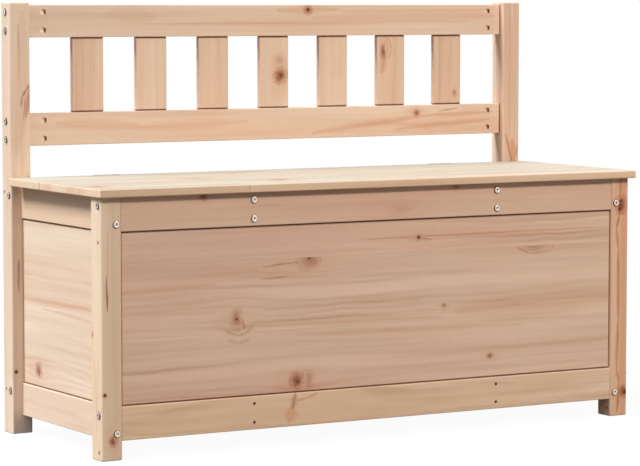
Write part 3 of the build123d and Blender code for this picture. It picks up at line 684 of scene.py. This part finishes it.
# Rear posts and backrest
pine("rear_left_post", "ZXY", "cream", contrast=0.5, marks=(
    *crooked(((0.236, 0.019), (0.226, 0.012), (0.214, 0.003), (0.196, 0.001)), 0.0026, 0.65, 0.8),
    streak((0.230, 0.019), (0.180, 0.010), 0.0050, 0.3, 0.9),
    streak((0.212, 0.009), (0.172, 0.006), 0.0020, 0.45, 0.6),
    streak((0.340, -0.003), (0.240, -0.001), 0.0020, 0.25, 0.6),
    streak((0.360, 0.004), (0.080, 0.002), 0.0070, 0.0, 0.35),
    pin(-0.268, -0.0122, 0.0046),
    streak((-0.072, -0.0060), (-0.128, -0.0055), 0.0022, 1.1, 0.5),
    pin(0.047, 0.009, 0.0032, side=True),
    pin(-0.300, 0.0084, 0.0032, side=True),
))
pine("rear_right_post", "ZXY", "shell", contrast=0.6, marks=(
    streak((0.124, -0.012), (0.070, 0.004), 0.0028, 0.8, 0.9),
    streak((0.114, 0.003), (0.066, 0.006), 0.0060, 0.15, 1.0),
    streak((0.104, 0.015), (0.070, 0.008), 0.0026, 0.5, 0.9),
    streak((0.420, -0.004), (0.120, -0.002), 0.0022, 0.12, 0.5),
    streak((0.400, 0.009), (0.110, 0.008), 0.0034, 0.08, 0.5),
    streak((0.340, 0.002), (0.150, 0.003), 0.0014, 0.15, 0.6),
    streak((0.400, -0.009), (0.060, -0.009), 0.0100, 0.2, 0.4, side=True),
))
rail_end, rail_edge = board_halves("backrest_top_rail", "XZY")
rail_reach = LINE_OVERRUN * rail_edge
# Painted shade: a dark line across each backrest rail's right end, where it meets the right post
rail_end_shade = streak((rail_end, -rail_reach), (rail_end, rail_reach), 0.0030, 1.0, steady=True)
pine("backrest_top_rail", "XZY", "shell", contrast=0.6, marks=(
    knot(0.0697, 0.0195, 0.0088, 1.15, 1.0, 1.0),
    pin(0.0697, 0.0195, 0.0046),
    streak((0.005, 0.018), (0.135, 0.020), 0.0040, 0.05, 0.5),
    streak((-0.340, 0.012), (-0.250, 0.006), 0.0090, 0.0, 0.3),
    streak((-0.270, -0.006), (0.420, -0.003), 0.0026, 0.06, 0.35),
    streak((0.080, 0.004), (0.480, 0.007), 0.0060, 0.0, 0.4),
    streak((0.140, 0.016), (0.470, 0.018), 0.0030, 0.05, 0.35),
    rail_end_shade, *painted_bore_shade("backrest_top_rail"),
))
pine("backrest_bottom_rail", "XZY", "shell", contrast=0.6, marks=(
    knot(0.3068, 0.0138, 0.0075, 1.1, 1.8, 0.85),
    streak((0.080, -0.019), (0.330, 0.009), 0.0036, 0.1, 0.6),
    streak((0.330, 0.009), (0.480, 0.013), 0.0030, 0.1, 0.5),
    streak((0.260, -0.016), (0.470, -0.002), 0.0030, 0.08, 0.5),
    streak((0.355, 0.016), (0.400, 0.022), 0.0012, 0.5, 0.4),
    streak((-0.440, 0.010), (-0.280, 0.002), 0.0060, 0.0, 0.4),
    streak((-0.300, -0.002), (-0.060, 0.006), 0.0050, 0.04, 0.4),
    rail_end_shade, *painted_bore_shade("backrest_bottom_rail"),
))
SLAT_MARKS = {
    4: [knot(-0.0067, 0.0134, 0.0150, 1.05, 0.6, 1.0), knot(0.022, 0.0120, 0.0110, 1.1, 0.3, 0.25)],
    6: [
        knot(0.0355, -0.0165, 0.0068, 2.2, 2.6, 0.85),
        *crooked(((0.062, -0.012), (0.055, -0.002), (0.040, 0.001), (0.020, -0.006)), 0.0012, 0.3, 0.6),
        *crooked(((0.056, -0.012), (0.048, -0.006), (0.030, -0.007)), 0.0012, 0.35, 0.6),
        streak((0.028, -0.015), (-0.004, -0.019), 0.0050, 0.2, 0.7),
    ],
    7: [knot(-0.0447, 0.0172, 0.0060, 1.3, 1.2, 0.5)],
}
for number, tone, contrast in (
    (1, "shell", 0.7), (2, "shell", 0.35), (3, "shell", 0.6), (4, "shell", 0.45), (5, "shell", 0.5),
    (6, "shell", 0.7), (7, "clay", 0.6),
):
    node_name = "back_slat_%d" % number
    pine(node_name, "ZXY", tone, contrast=contrast, marks=(
        *painted_gap_shade(node_name, "ZXY", SLAT_TENON, across=True), *SLAT_MARKS.get(number, ()),
    ))

# Seat
lid_end, lid_edge = board_halves("seat_lid", "XYZ")
# Painted shade: the lid's top face has a darker, greyer tone than its other faces, to offset the strong
# light from above
pine("seat_lid", "XYZ", "shaded_oat", ring=0.011, contrast=1.0, seams=LID_SEAMS, butts=LID_JOINTS,
     edge_tone="milk", marks=(
    knot(-0.1583, -0.095, 0.0160, 1.2, 1.0, 0.9),
    streak((-0.172, -0.095), (-0.145, -0.095), 0.0130, 0.7, 0.5, steady=True),
    knot(-0.2739, 0.001, 0.0150, 2.2, 1.0, 0.5),
    knot(-0.5127, -0.109, 0.0150, 1.2, 1.0, 0.9),
    streak((-0.522, -0.109), (-0.503, -0.109), 0.0110, 0.6, 0.5, steady=True),
    knot(0.0803, 0.140, 0.0130, 2.0, 1.0, 0.5),
    knot(-0.1353, 0.110, 0.0130, 2.0, 1.0, 0.4),
    streak((-0.500, -0.060), (-0.250, -0.070), 0.0120, 0.06, 0.4),
    streak((-0.050, -0.040), (0.300, -0.050), 0.0100, 0.04, 0.35),
    streak((0.100, -0.120), (0.420, -0.115), 0.0120, 0.04, 0.35),
    streak((LID_JOINTS[0], -1.1 * lid_edge), (LID_JOINTS[0], -0.9 * lid_edge), 0.0012, 0.25, steady=True),
    streak((-1.02 * lid_end, LID_SEAMS[1]), (-0.98 * lid_end, LID_SEAMS[1]), 0.0022, 0.6, steady=True),
    streak((-1.02 * lid_end, -0.080), (-0.98 * lid_end, -0.060), 0.0120, 0.0, 0.5, steady=True),
    streak((-1.02 * lid_end, 0.020), (-0.98 * lid_end, 0.030), 0.0120, 0.0, 0.4, steady=True),
))

# Sides that the photograph doesn't show
pine("right_panel", "YZX", "rose", pith=(0.25, 0.10), contrast=0.6, seams=END_PANEL_SEAMS, marks=(
    *painted_gap_shade("right_panel", "YZX", PANEL_TONGUE),
    knot(-0.07, 0.03, 0.0110, 1.1, 1.0, 0.9),
))
pine("right_top_rail", "YZX", "rose", contrast=0.35)
pine("right_bottom_rail", "YZX", "rose", contrast=0.45)
pine("rear_panel", "XZY", "rose", ring=0.010, pith=(0.30, 0.12), contrast=0.6,
     seams=LONG_PANEL_SEAMS, marks=(
    *painted_gap_shade("rear_panel", "XZY", PANEL_TONGUE),
    knot(0.21, -0.08, 0.0120, 1.1, 1.0, 0.9),
    knot(-0.30, 0.04, 0.0100, 1.2, 1.0, 0.8),
))
pine("rear_top_rail", "XZY", "straw", contrast=0.45)
pine("rear_bottom_rail", "XZY", "straw", contrast=0.45)
for side in ("left", "right"):
    for piece_name in ("seat_bearer", "floor_bearer", "floor_cleat"):
        pine("%s_%s" % (side, piece_name), "YZX", "straw", contrast=0.45)
for number in range(1, 5):
    pine("floor_board_%d" % number, "XYZ", "rose", contrast=0.5)
pine("rail_dowels", "XZY", "cream", ring=0.003, contrast=0.2)


# Metals

def speck_group():
    """Fine specks of worn metal in two shades, with a roughness and a relief to match, and painted shade
    where a rim is marked.
    """
    tree, given, result = new_group(
        "Metal specks",
        {
            "Position": VECTOR, "Scale": FLOAT, "Light Colour": COLOUR, "Dark Colour": COLOUR,
            "Painted Shade": FLOAT, "Painted Shade Colour": COLOUR, "Roughness": FLOAT,
        },
        {"Colour": COLOUR, "Roughness": FLOAT, "Height": FLOAT},
    )
    scale = combine(tree, given["Scale"], given["Scale"], given["Scale"])
    specks = ramp(tree, noise(tree, given["Position"], scale, 4.0)["Fac"], 0.3, 0.7)
    tint = mix(tree, specks, given["Light Colour"], given["Dark Colour"])
    # Painted shade on marked rims and sockets
    tint = mix(tree, given["Painted Shade"], tint, given["Painted Shade Colour"])
    tree.links.new(tint, result.inputs["Colour"])
    rough = calc(tree, "MULTIPLY_ADD", specks, 0.15, given["Roughness"])
    tree.links.new(rough, result.inputs["Roughness"])
    tree.links.new(specks, result.inputs["Height"])
    return tree


speck_tree = speck_group()
METAL_RELIEF = {"Strength": 0.2, "Distance": 0.0001}


def metal(name, light, dark, rim, scale, rough):
    """Worn metal in two shades, with painted shade on the rims and sockets where a shape has marked them.
    """
    material, tree = new_material(name)
    worn = use_group(tree, speck_tree, {
        "Position": add(tree, "ShaderNodeTexCoord").outputs["Object"], "Scale": scale,
        "Light Colour": light, "Dark Colour": dark, "Painted Shade Colour": rim, "Roughness": rough,
        # The "rim" attribute carries painted shade on bolt heads' sides and in their sockets
        "Painted Shade": add(tree, "ShaderNodeAttribute", attribute_name="rim").outputs["Fac"],
    })
    show(tree, worn, METAL_RELIEF).inputs["Metallic"].default_value = 1.0
    return material


# Painted shade: the dark colour painted on bolt heads' sides and in their sockets
PAINTED_SHADE_COLOUR = colour(66, 52, 42)
zinc = metal("zinc_bolts", colour(228, 212, 200), colour(196, 178, 164), PAINTED_SHADE_COLOUR, 900.0, 0.25)
nut_zinc = metal("nut_zinc", colour(232, 206, 180), colour(206, 180, 154), PAINTED_SHADE_COLOUR, 900.0, 0.45)
black_oxide = metal("dark_screws", colour(92, 84, 78), colour(58, 52, 48), PAINTED_SHADE_COLOUR, 1400.0, 0.4)
hinge_steel = metal("hinge_steel", colour(214, 206, 190), colour(172, 164, 150), PAINTED_SHADE_COLOUR, 700.0, 0.3)
for node_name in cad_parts:
    if "hinge" in node_name and "screws" not in node_name:
        coat(node_name, hinge_steel)
coat("barrel_nuts", nut_zinc)


# Fasteners: one turned shape for each kind, set at every place where the frame has one

SEGMENTS = 24
BOLT_HEAD_RADIUS = 0.00625
BOLT_HEAD_HEIGHT = 0.0025
BOLT_HEAD_CHAMFER = 0.001
BOLT_RADIUS = 0.003
SOCKET_RADIUS = 0.0023
SOCKET_DEPTH = 0.003
SCREW_SIZES = (0.0035, 0.0055)
LEAF_SCREW_SIZES = (0.0028, 0.005)
SHARP_EDGE = math.radians(35)
# How much painted shade each marked outline gets: full on a bolt head's side, less in its socket
PAINTED_SHADE_SHARES = {"rim": 1.0, "hexagon": 0.4}


def ring_share(shape, angle):
    """Share of the full radius at an angle, for a round, six-sided or cross-shaped ring."""
    if shape == "hexagon":
        return math.cos(math.pi / 6) / math.cos(angle % (math.pi / 3) - math.pi / 6)
    if shape == "cross":
        return max(0.42, abs(math.cos(2 * angle)) ** 5)
    return 1.0


def turned(name, rings):
    """Closed shape from rings of a radius, a height and an outline, from the middle of its top to its tip.

    An outline of "rim" is round too. It and a six-sided socket are marked for painted shade.
    """
    mesh = bpy.data.meshes.new(name)
    shape = bmesh.new()
    # The "rim" layer holds painted shade: how dark the metal is painted on each ring
    rim = shape.verts.layers.float.new("rim")
    loops = []
    for radius, height, kind in rings:
        if radius == 0:
            loops.append([shape.verts.new((0, 0, height))])
            continue
        angles = [2 * math.pi * i / SEGMENTS for i in range(SEGMENTS)]
        reach = [radius * ring_share(kind, angle) for angle in angles]
        points = [(r * math.cos(a), r * math.sin(a), height) for r, a in zip(reach, angles)]
        loops.append([shape.verts.new(point) for point in points])
        for vert in loops[-1]:
            vert[rim] = PAINTED_SHADE_SHARES.get(kind, 0.0)
    for upper, lower in zip(loops, loops[1:]):
        for i in range(SEGMENTS):
            near = [upper[i % len(upper)], lower[i % len(lower)]]
            far = [lower[(i + 1) % len(lower)], upper[(i + 1) % len(upper)]]
            shape.faces.new(list(dict.fromkeys(near + far)))
    bmesh.ops.recalc_face_normals(shape, faces=shape.faces)
    shape.to_mesh(mesh)
    shape.free()
    return bpy.data.objects.new(name, mesh)


def head_of(points):
    """Head end, outward direction and length of one fastener: its head is its wider end."""
    low = Vector([min(p[i] for p in points) for i in range(3)])
    high = Vector([max(p[i] for p in points) for i in range(3)])
    size = high - low
    axis = max(range(3), key=lambda i: size[i])
    middle = (low + high) / 2
    flat = Vector([i != axis for i in range(3)])
    ends = {1: [], -1: []}
    for point in points:
        ends[1 if point[axis] > middle[axis] else -1].append(((point - middle) * flat).length)
    sign = 1 if max(ends[1]) >= max(ends[-1]) else -1
    head = middle.copy()
    head[axis] = high[axis] if sign > 0 else low[axis]
    return head, Vector([sign if i == axis else 0 for i in range(3)]), size[axis]


def fastener_tree():
    """Sets a shape at every point, turned to face outwards and spun by chance about its own axis."""
    tree = bpy.data.node_groups.new("Fasteners", "GeometryNodeTree")
    sockets = {}
    for label, kind in (
        ("Geometry", "NodeSocketGeometry"), ("Shape", "NodeSocketObject"),
        ("Material", "NodeSocketMaterial"), ("Spin", FLOAT), ("Seed", "NodeSocketInt"),
    ):
        sockets[label] = tree.interface.new_socket(label, in_out="INPUT", socket_type=kind).identifier
    tree.interface.new_socket("Geometry", in_out="OUTPUT", socket_type="NodeSocketGeometry")
    given = tree.nodes.new("NodeGroupInput").outputs
    result = tree.nodes.new("NodeGroupOutput")
    outward = add(tree, "GeometryNodeInputNamedAttribute", {"Name": "outward"}, data_type="FLOAT_VECTOR")
    facing = add(tree, "FunctionNodeAlignRotationToVector", {"Vector": outward.outputs[0]}, axis="Z")
    chance = {"Max": given["Spin"], "Seed": given["Seed"]}
    turn = add(tree, "FunctionNodeRandomValue", chance, data_type="FLOAT")
    angle = [output for output in turn.outputs if output.type == "VALUE"][0]
    spin = add(tree, "FunctionNodeAxisAngleToRotation", {"Axis": (0.0, 0.0, 1.0), "Angle": angle})
    rotation = {0: facing.outputs[0], 1: spin.outputs[0]}
    rotation = add(tree, "FunctionNodeRotateRotation", rotation, rotation_space="LOCAL")
    shape = add(tree, "GeometryNodeObjectInfo", {"Object": given["Shape"]})
    copies = add(tree, "GeometryNodeInstanceOnPoints", {
        "Points": given["Geometry"], "Instance": shape.outputs["Geometry"],
        "Rotation": rotation.outputs[0],
    })
    real = add(tree, "GeometryNodeRealizeInstances", {"Geometry": copies.outputs[0]})
    coat = {"Geometry": real.outputs[0], "Material": given["Material"]}
    coated = add(tree, "GeometryNodeSetMaterial", coat)
    tree.links.new(coated.outputs[0], result.inputs[0])
    return tree, sockets


fasteners, fastener_sockets = fastener_tree()


def set_fasteners(node_name, make_shape, material, body):
    """Replaces a node's plain fasteners with finely shaped ones of the same length."""
    name = node_name + "_shaped"
    spots = [head_of(points) for points in islands(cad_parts[node_name].data)]
    spots.sort(key=lambda spot: tuple(round(value, 5) for value in spot[0]))
    mesh = bpy.data.meshes.new(name)
    mesh.from_pydata([head for head, _, _ in spots], [], [])
    facing = mesh.attributes.new("outward", "FLOAT_VECTOR", "POINT")
    for item, (_, outward, _) in zip(facing.data, spots):
        item.vector = outward
    holder = bpy.data.objects.new(name, mesh)
    bpy.context.scene.collection.objects.link(holder)
    modifier = holder.modifiers.new("Fasteners", "NODES")
    modifier.node_group = fasteners
    shape = make_shape(node_name + "_shape", spots[0][2])
    values = {"Shape": shape, "Material": material, "Spin": math.tau, "Seed": len(name)}
    for label, value in values.items():
        modifier[fastener_sockets[label]] = value
    depsgraph = bpy.context.evaluated_depsgraph_get()
    finished = bpy.data.meshes.new_from_object(holder.evaluated_get(depsgraph), depsgraph=depsgraph)
    holder.modifiers.remove(modifier)
    holder.data = finished
    finished.shade_smooth()
    finished.set_sharp_from_angle(angle=SHARP_EDGE)
    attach(holder, body)
    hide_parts(node_name)


def bolt_shape(name, length):
    """Flat-headed socket bolt, hanging from the top of its head."""
    return turned(name, [
        (0.0, -1.1 * SOCKET_DEPTH, "round"), (SOCKET_RADIUS, -SOCKET_DEPTH, "hexagon"),
        (SOCKET_RADIUS, -0.0003, "hexagon"), (1.15 * SOCKET_RADIUS, 0.0, "round"),
        (BOLT_HEAD_RADIUS - 1.1 * BOLT_HEAD_CHAMFER, 0.0, "round"),
        (BOLT_HEAD_RADIUS - 0.6 * BOLT_HEAD_CHAMFER, -0.2 * BOLT_HEAD_CHAMFER, "rim"),
        (BOLT_HEAD_RADIUS, -BOLT_HEAD_CHAMFER, "rim"), (BOLT_HEAD_RADIUS, -BOLT_HEAD_HEIGHT, "round"),
        (BOLT_RADIUS, -BOLT_HEAD_HEIGHT, "round"), (BOLT_RADIUS, 0.001 - length, "round"),
        (0.8 * BOLT_RADIUS, -length, "round"), (0.0, -length, "round"),
    ])


def screw_shape(sizes):
    """Maker of a countersunk screw with a cross recess, hanging from the flat of its head."""
    shank, head = sizes

    def make(name, length):
        return turned(name, [
            (0.0, -0.35 * head, "round"), (0.16 * head, -0.3 * head, "cross"), (0.3 * head, 0.0, "cross"),
            (0.46 * head, 0.0, "round"), (0.5 * head, -0.04 * head, "round"),
            (0.5 * shank, -0.5 * (head - shank), "round"), (0.5 * shank, shank - length, "round"),
            (0.0, -length, "round"),
        ])

    return make


set_fasteners("frame_bolts", bolt_shape, zinc, "frame")
set_fasteners("seat_bearer_bolts", bolt_shape, zinc, "frame")
for node_name in ("floor_bearer_screws", "floor_cleat_screws", "floor_board_screws"):
    set_fasteners(node_name, screw_shape(SCREW_SIZES), black_oxide, "frame")
for node_name, body in (("hinge_rail_screws", "frame"), ("hinge_lid_screws", "lid")):
    set_fasteners(node_name, screw_shape(LEAF_SCREW_SIZES), hinge_steel, body)


# Stage: white floor and world for the camera and for reflections, plain light for everything else

FLOOR_REACH = 30.0
FLOOR_COLOUR = (0.12, 0.12, 0.12, 1.0)
SHADOW_SHARE = 0.045
SKY_LIGHT = 0.03
WHITE = (1.0, 1.0, 1.0, 1.0)


def seen_directly(tree):
    """1 for rays that show the stage itself, straight, off something glossy or through something clear."""
    path = add(tree, "ShaderNodeLightPath").outputs
    shown = calc(tree, "MAXIMUM", path["Is Camera Ray"], path["Is Glossy Ray"])
    return calc(tree, "MAXIMUM", shown, path["Is Transmission Ray"])


floor_mesh = bpy.data.meshes.new("floor")
corners = [(x * FLOOR_REACH, y * FLOOR_REACH, 0.0) for x, y in ((-1, -1), (1, -1), (1, 1), (-1, 1))]
floor_mesh.from_pydata(corners, [], [(0, 1, 2, 3)])
floor = bpy.data.objects.new("floor", floor_mesh)
bpy.context.scene.collection.objects.link(floor)
floor_material, tree = new_material("white_floor")
tree.nodes.clear()
plain = add(tree, "ShaderNodeBsdfDiffuse", {"Color": FLOOR_COLOUR})
bright = add(tree, "ShaderNodeEmission", {"Color": WHITE, "Strength": 1.0})
shadow = add(tree, "ShaderNodeBsdfDiffuse", {"Color": WHITE})
shaded = {0: SHADOW_SHARE, 1: bright.outputs[0], 2: shadow.outputs[0]}
shaded = add(tree, "ShaderNodeMixShader", shaded)
choice = {0: seen_directly(tree), 1: plain.outputs[0], 2: shaded.outputs[0]}
choice = add(tree, "ShaderNodeMixShader", choice)
add(tree, "ShaderNodeOutputMaterial", {"Surface": choice.outputs[0]})
floor_mesh.materials.append(floor_material)

world = bpy.data.worlds.new("studio")
world.use_nodes = True
bpy.context.scene.world = world
tree = world.node_tree
tree.nodes.clear()
light = add(tree, "ShaderNodeBackground", {"Color": WHITE, "Strength": SKY_LIGHT})
white = add(tree, "ShaderNodeBackground", {"Color": WHITE, "Strength": 1.0})
choice = {0: seen_directly(tree), 1: light.outputs[0], 2: white.outputs[0]}
choice = add(tree, "ShaderNodeMixShader", choice)
add(tree, "ShaderNodeOutputWorld", {"Surface": choice.outputs[0]})


def lamp(name, towards, strength, softness, tint, distance=None):
    """Soft round lamp, given by the direction that it is seen in: far away, or at a distance."""
    data = bpy.data.lights.new(name, "AREA" if distance else "SUN")
    data.color = tint
    holder = bpy.data.objects.new(name, data)
    holder.rotation_euler = Vector(towards).to_track_quat("Z", "Y").to_euler()
    if distance:
        data.shape = "DISK"
        data.size = 2 * distance * math.tan(math.radians(softness / 2))
        data.energy = strength * math.pi * distance ** 2
        holder.location = Vector(towards).normalized() * distance
    else:
        data.angle = math.radians(softness)
        data.energy = strength
    bpy.context.scene.collection.objects.link(holder)


COOL = (0.97, 1.0, 1.05)
COOLER = (0.93, 1.0, 1.09)
WARM = (1.0, 0.885, 0.79)
MILD = (1.0, 0.97, 0.93)
lamp("left_lamp", (-0.62, 0.11, 0.78), strength=3.9, softness=21.0, tint=COOL)
lamp("front_lamp", (0.33, -0.78, 0.61), strength=1.6, softness=7.0, tint=WARM, distance=6.0)
lamp("left_fill", (-0.42, -0.43, 0.80), strength=1.45, softness=80.0, tint=COOLER)
lamp("back_fill", (0.0, 1.0, 0.08), strength=0.75, softness=8.0, tint=MILD)

# Camera at the photograph's angle
CAMERA_PLACE = (-2.5742, -4.37755, 0.7538)
CAMERA_DOWN = math.radians(4.618)
CAMERA_TURN = math.radians(-30.394)
CAMERA_LENS = 160.08
CAMERA_SENSOR = 36.0
CAMERA_REACH = 100.0
camera_data = bpy.data.cameras.new("camera")
camera_data.sensor_width = CAMERA_SENSOR
camera_data.lens = CAMERA_LENS
camera_data.clip_end = CAMERA_REACH
camera = bpy.data.objects.new("camera", camera_data)
camera.location = CAMERA_PLACE
camera.rotation_euler = (math.pi / 2 - CAMERA_DOWN, 0.0, CAMERA_TURN)
bpy.context.scene.collection.objects.link(camera)
bpy.context.scene.camera = camera
bpy.context.scene.view_settings.view_transform = "Standard"
